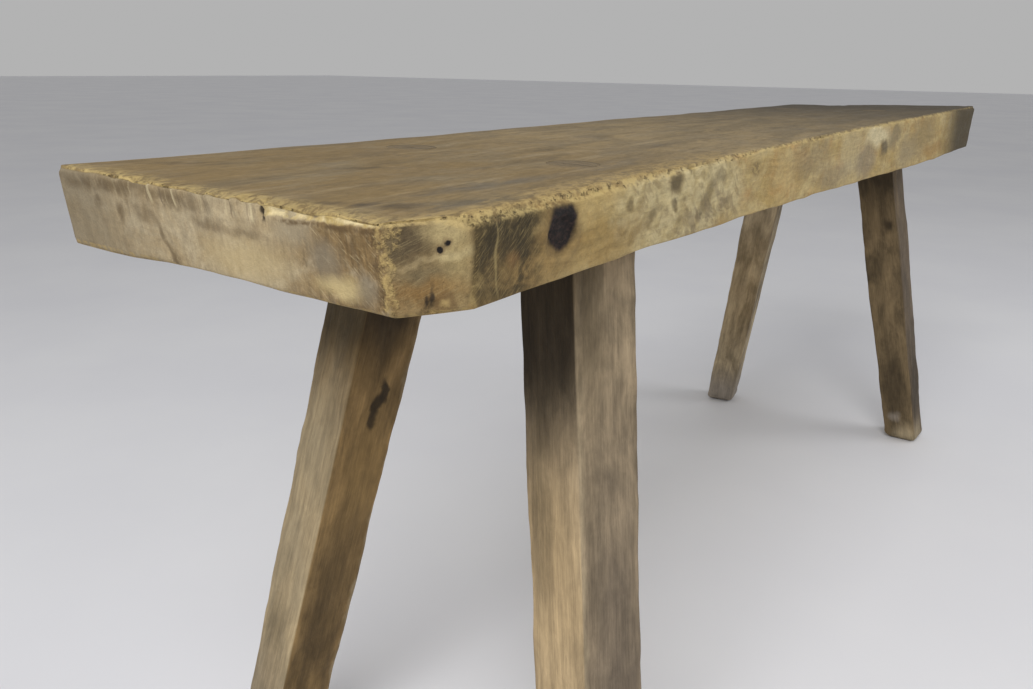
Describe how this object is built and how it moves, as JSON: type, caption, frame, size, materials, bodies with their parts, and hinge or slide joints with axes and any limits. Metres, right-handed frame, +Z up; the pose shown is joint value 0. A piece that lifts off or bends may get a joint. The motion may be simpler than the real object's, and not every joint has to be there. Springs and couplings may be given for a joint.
{
  "type": "pig bench",
  "caption": "Long low bench: a thick worn plank slab staked on splayed square legs, each held by a wedged round through tenon.",
  "frame": {"origin": "on the floor under the middle of the bench", "axes": "+X along the slab from the clipped end to the plain end, +Y from the front side to the back side, +Z up"},
  "size_m": [1.466, 0.4019, 0.56],
  "materials": {
    "slab_wood": "old worn hardwood, dry, ochre sides and grey-brown top",
    "leg_wood": "old hand-hewn hardwood, dry, darker brown",
    "wedge_wood": "old hardwood end grain, worn flush"
  },
  "bodies": {
    "root": {"seat_slab": "slab_wood", "leg_clipped_end_back": "leg_wood", "leg_clipped_end_front": "leg_wood", "leg_plain_end_back": "leg_wood", "leg_plain_end_front": "leg_wood", "wedge_clipped_end_back": "wedge_wood", "wedge_clipped_end_front": "wedge_wood", "wedge_plain_end_back": "wedge_wood", "wedge_plain_end_front": "wedge_wood"}
  },
  "joints": []
}
